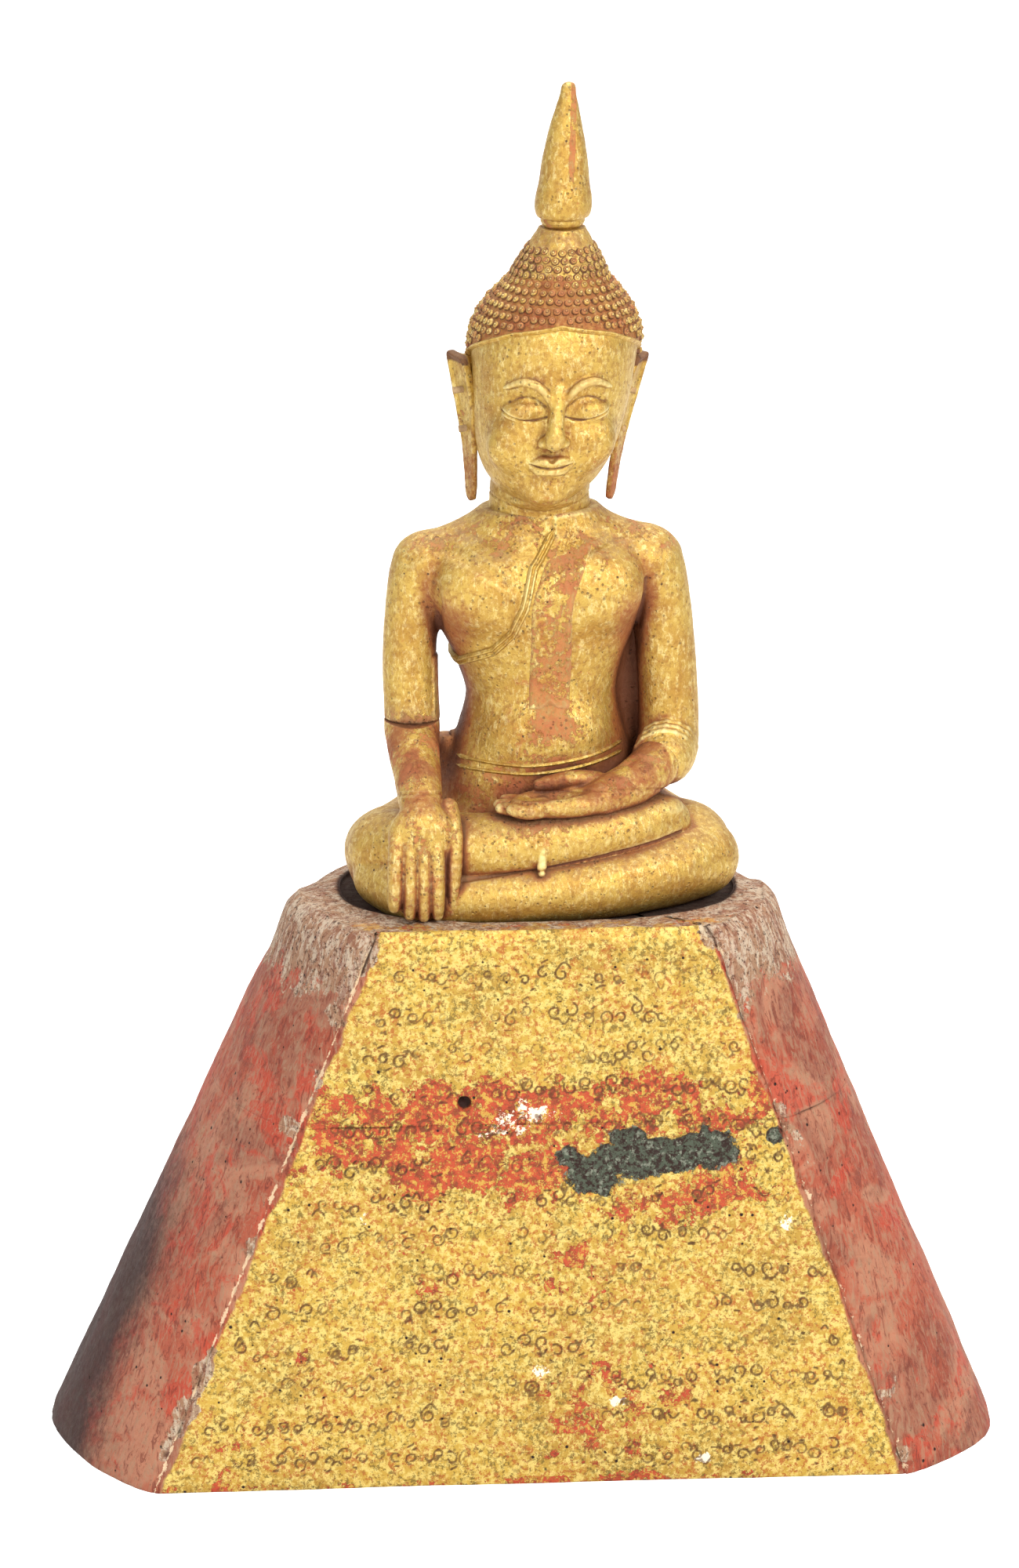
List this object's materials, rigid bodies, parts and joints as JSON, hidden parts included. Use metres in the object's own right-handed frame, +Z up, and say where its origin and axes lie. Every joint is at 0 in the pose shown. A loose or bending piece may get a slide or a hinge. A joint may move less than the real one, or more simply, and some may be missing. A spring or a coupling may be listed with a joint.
{
  "type": "seated buddha statue on a tall pedestal",
  "caption": "Seated earth-touching devotional figure in gilded carved wood with a lift-off bud finial, standing in the recess of a tall tapered pedestal with a flat gilded front and rounded sides.",
  "frame": {"origin": "centre of the pedestal's underside, on the ground", "axes": "+Z up through the finial, the figure faces -Y, +X to the figure's own left"},
  "size_m": [0.348, 0.154, 0.499],
  "materials": {
    "gold_leaf": "gold leaf over red lacquer on carved wood, pitted and rubbed",
    "worn_gold": "gold leaf rubbed through to brown lacquer",
    "red_lacquer": "dusty, scratched red lacquer with a gilded front face",
    "bare_wood": "old bare softwood, dusty",
    "peg_wood": "whittled bamboo and hardwood"
  },
  "bodies": {
    "pedestal": {"pedestal_lower_block": "red_lacquer", "pedestal_upper_block": "red_lacquer", "tier_dowels": "peg_wood", "base_board": "bare_wood", "base_board_pegs": "peg_wood"},
    "figure": {"figure_body": "gold_leaf", "right_forearm": "worn_gold", "left_forearm": "worn_gold", "forearm_pegs": "peg_wood", "seat_dowels": "peg_wood", "neck_dowel": "peg_wood", "head": "gold_leaf", "right_ear": "gold_leaf", "left_ear": "gold_leaf", "ear_pegs": "peg_wood", "hair_curls": "worn_gold", "hairline_band": "gold_leaf", "robe_edge_line": "gold_leaf", "waist_line": "gold_leaf", "shoulder_sash": "gold_leaf"},
    "finial": {"finial_bud": "gold_leaf", "finial_peg": "peg_wood"}
  },
  "joints": [
    {"name": "figure_lift", "type": "slide", "parent": "pedestal", "child": "figure", "axis": [0, 0, 1], "range_m": [0, 0.04]},
    {"name": "finial_lift", "type": "slide", "parent": "figure", "child": "finial", "axis": [0, 0, 1], "range_m": [0, 0.02]}
  ]
}
